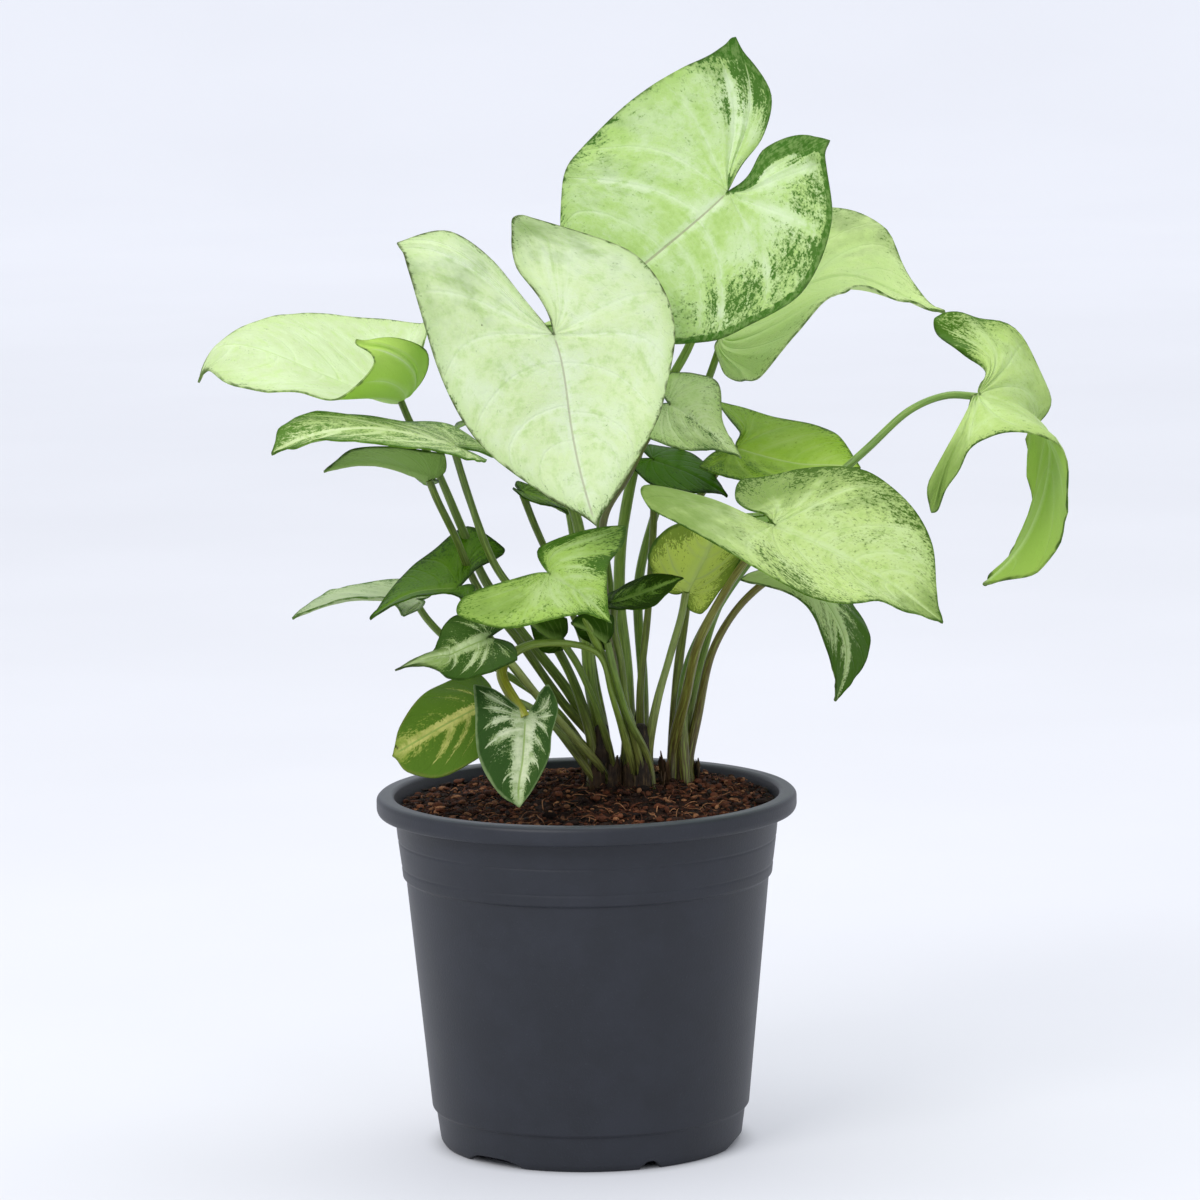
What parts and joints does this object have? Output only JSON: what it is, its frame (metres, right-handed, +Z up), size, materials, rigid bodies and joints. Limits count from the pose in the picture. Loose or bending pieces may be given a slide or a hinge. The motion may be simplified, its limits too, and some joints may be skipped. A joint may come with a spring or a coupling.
{
  "type": "potted syngonium",
  "caption": "Potted arrowhead vine: variegated heart-shaped leaves on long petioles rising from soil in a tapered plastic nursery pot with a collar and a rolled rim.",
  "frame": {"origin": "centre of the pot's flat base, on the surface that the pot stands on", "axes": "+Z up along the pot's axis, -Y toward the front, the side from which the big pale leaf is seen, +X to the right in that view"},
  "size_m": [0.2655, 0.1757, 0.3384],
  "materials": {
    "pot": "satin",
    "soil": "rough, crumbly",
    "stem": "waxy",
    "leaf_pale": "satin, waxy",
    "leaf_fresh": "satin, waxy",
    "leaf_speckled": "satin, waxy",
    "leaf_dark": "satin, waxy"
  },
  "bodies": {
    "root": {"pot": "pot", "soil": "soil", "stem_left": "stem", "stem_middle": "stem", "stem_right": "stem", "stem_back": "stem", "stem_back_left": "stem", "leaf_top": "leaf_pale", "leaf_front": "leaf_pale", "leaf_right_back": "leaf_fresh", "leaf_droop": "leaf_fresh", "leaf_left": "leaf_pale", "leaf_left_flat": "leaf_speckled", "leaf_left_under": "leaf_dark", "leaf_left_dark": "leaf_dark", "leaf_left_low": "leaf_fresh", "leaf_centre": "leaf_fresh", "leaf_right": "leaf_fresh", "leaf_right_mid": "leaf_fresh", "leaf_mid_pale": "leaf_pale", "leaf_mid_dark": "leaf_dark", "leaf_under": "leaf_fresh", "leaf_curl": "leaf_dark", "leaf_hang_right": "leaf_dark", "leaf_variegated_top": "leaf_dark", "leaf_variegated_hang": "leaf_dark", "leaf_variegated_low": "leaf_dark", "leaf_small_dark": "leaf_dark", "leaf_low_under_left": "leaf_dark", "leaf_low_under_right": "leaf_dark", "leaf_back_high": "leaf_fresh", "leaf_back_left": "leaf_fresh", "leaf_back_right": "leaf_fresh"}
  },
  "joints": []
}
